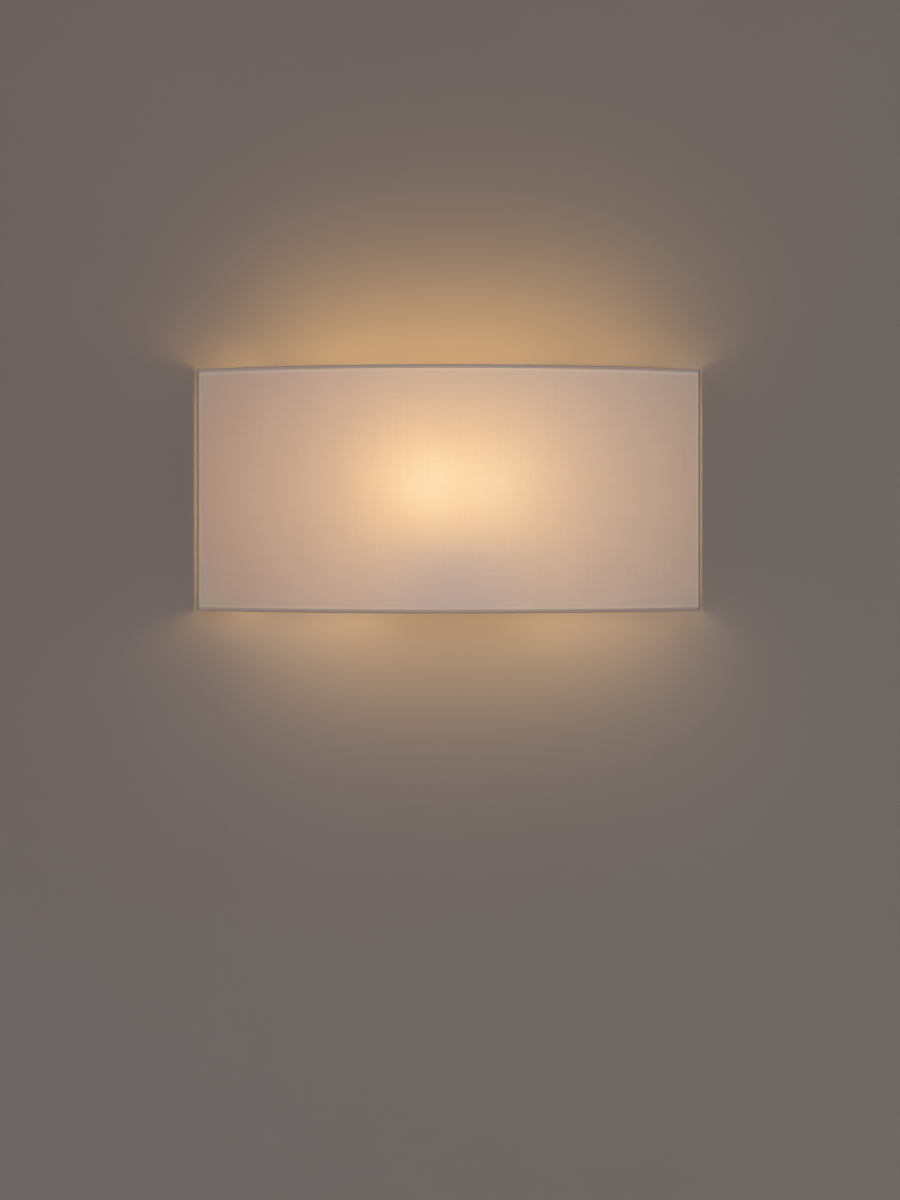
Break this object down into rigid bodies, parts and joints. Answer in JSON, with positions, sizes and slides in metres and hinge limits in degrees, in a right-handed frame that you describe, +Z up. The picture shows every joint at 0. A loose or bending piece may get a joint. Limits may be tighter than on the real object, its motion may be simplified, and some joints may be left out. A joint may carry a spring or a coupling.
{
  "type": "fabric shade wall light",
  "caption": "Wall light with a bow-front fabric shade, rolled over wire at its edges, round upright opal lamps on a steel wall box.",
  "frame": {"origin": "middle of the two wall slots, on the mounting strap's back face, which lies on the wall", "axes": "+Y into the wall, +Z up, +X to the right as seen from the room; the shade's front faces -Y"},
  "size_m": [0.5, 0.12, 0.24],
  "materials": {
    "cloth": "woven, matt",
    "liner_film": "matt translucent",
    "white_lacquered_steel": "satin",
    "zinc_plated_steel": "zinc plated",
    "brass": "turned",
    "nickel_plated_brass": "satin nickel",
    "solder_tin": "dull",
    "white_plastic": "moulded",
    "porcelain": "unglazed",
    "opal_glass": "opal, lit",
    "dark_glass": "fused",
    "grommet_rubber": "matt",
    "live_sheath": "brown",
    "neutral_sheath": "blue",
    "earth_sheath": "green and yellow"
  },
  "bodies": {
    "wall_unit": {"wall_box": "white_lacquered_steel", "lamp_shelf": "white_lacquered_steel", "wall_strap": "zinc_plated_steel", "strap_pillars": "zinc_plated_steel", "box_screws": "zinc_plated_steel", "thread_inserts": "zinc_plated_steel", "locating_pegs": "zinc_plated_steel", "shelf_screws": "zinc_plated_steel", "shelf_nuts": "zinc_plated_steel", "lock_washers": "zinc_plated_steel", "lock_nuts": "zinc_plated_steel", "block_screws": "zinc_plated_steel", "earth_screw": "zinc_plated_steel", "terminal_clamp_screws": "zinc_plated_steel", "threaded_tubes": "brass", "terminal_barrels": "brass", "left_centre_contact": "brass", "right_centre_contact": "brass", "left_socket_shell": "brass", "right_socket_shell": "brass", "earth_tag": "solder_tin", "left_holder_base": "white_plastic", "right_holder_base": "white_plastic", "left_holder_sleeve": "white_plastic", "right_holder_sleeve": "white_plastic", "terminal_block": "white_plastic", "left_holder_core": "porcelain", "right_holder_core": "porcelain", "grommet": "grommet_rubber", "left_live_wire": "live_sheath", "right_live_wire": "live_sheath", "left_neutral_wire": "neutral_sheath", "right_neutral_wire": "neutral_sheath", "earth_wire": "earth_sheath"},
    "shade": {"shade_cloth": "cloth", "shade_liner": "liner_film", "top_front_wire": "white_lacquered_steel", "bottom_front_wire": "white_lacquered_steel", "left_end_wire": "white_lacquered_steel", "right_end_wire": "white_lacquered_steel", "top_back_bar": "white_lacquered_steel", "bottom_back_bar": "white_lacquered_steel", "left_arm": "white_lacquered_steel", "right_arm": "white_lacquered_steel"},
    "left_lamp_rise": {"left_lamp_tip": "solder_tin"},
    "left_lamp": {"left_lamp_globe": "opal_glass", "left_lamp_neck": "white_plastic", "left_lamp_cap": "nickel_plated_brass", "left_lamp_insulator": "dark_glass"},
    "left_thumb_travel": {"left_thumb_screw_shank": "zinc_plated_steel"},
    "left_thumb": {"left_thumb_screw_head": "nickel_plated_brass"},
    "right_lamp_rise": {"right_lamp_tip": "solder_tin"},
    "right_lamp": {"right_lamp_globe": "opal_glass", "right_lamp_neck": "white_plastic", "right_lamp_cap": "nickel_plated_brass", "right_lamp_insulator": "dark_glass"},
    "right_thumb_travel": {"right_thumb_screw_shank": "zinc_plated_steel"},
    "right_thumb": {"right_thumb_screw_head": "nickel_plated_brass"}
  },
  "joints": [
    {"name": "shade_pull_off", "type": "slide", "parent": "wall_unit", "child": "shade", "axis": [0, -1, 0], "range_m": [0, 0.12]},
    {"name": "left_lamp_lift", "type": "slide", "parent": "wall_unit", "child": "left_lamp_rise", "axis": [0, 0, 1], "range_m": [0, 0.0113]},
    {"name": "left_lamp_turn", "type": "hinge", "parent": "left_lamp_rise", "child": "left_lamp", "pos_m": [-0.032, -0.048, -0.0495], "axis": [0, 0, 1], "range_deg": [0, 1440]},
    {"name": "left_thumb_out", "type": "slide", "parent": "wall_unit", "child": "left_thumb_travel", "axis": [-1, 0, 0], "range_m": [0, 0.0022]},
    {"name": "left_thumb_turn", "type": "hinge", "parent": "left_thumb_travel", "child": "left_thumb", "pos_m": [-0.1022, -0.009, 0.03], "axis": [-1, 0, 0], "range_deg": [0, 1080]},
    {"name": "right_lamp_lift", "type": "slide", "parent": "wall_unit", "child": "right_lamp_rise", "axis": [0, 0, 1], "range_m": [0, 0.0113]},
    {"name": "right_lamp_turn", "type": "hinge", "parent": "right_lamp_rise", "child": "right_lamp", "pos_m": [0.032, -0.048, -0.0495], "axis": [0, 0, 1], "range_deg": [0, 1440]},
    {"name": "right_thumb_out", "type": "slide", "parent": "wall_unit", "child": "right_thumb_travel", "axis": [1, 0, 0], "range_m": [0, 0.0022]},
    {"name": "right_thumb_turn", "type": "hinge", "parent": "right_thumb_travel", "child": "right_thumb", "pos_m": [0.1022, -0.009, 0.03], "axis": [1, 0, 0], "range_deg": [0, 1080]}
  ],
  "couplings": [
    {"joint": "left_lamp_lift", "follows": "left_lamp_turn", "m_per_rad": 0.00044913},
    {"joint": "left_thumb_out", "follows": "left_thumb_turn", "m_per_rad": 0.00011141},
    {"joint": "right_lamp_lift", "follows": "right_lamp_turn", "m_per_rad": 0.00044913},
    {"joint": "right_thumb_out", "follows": "right_thumb_turn", "m_per_rad": 0.00011141}
  ]
}
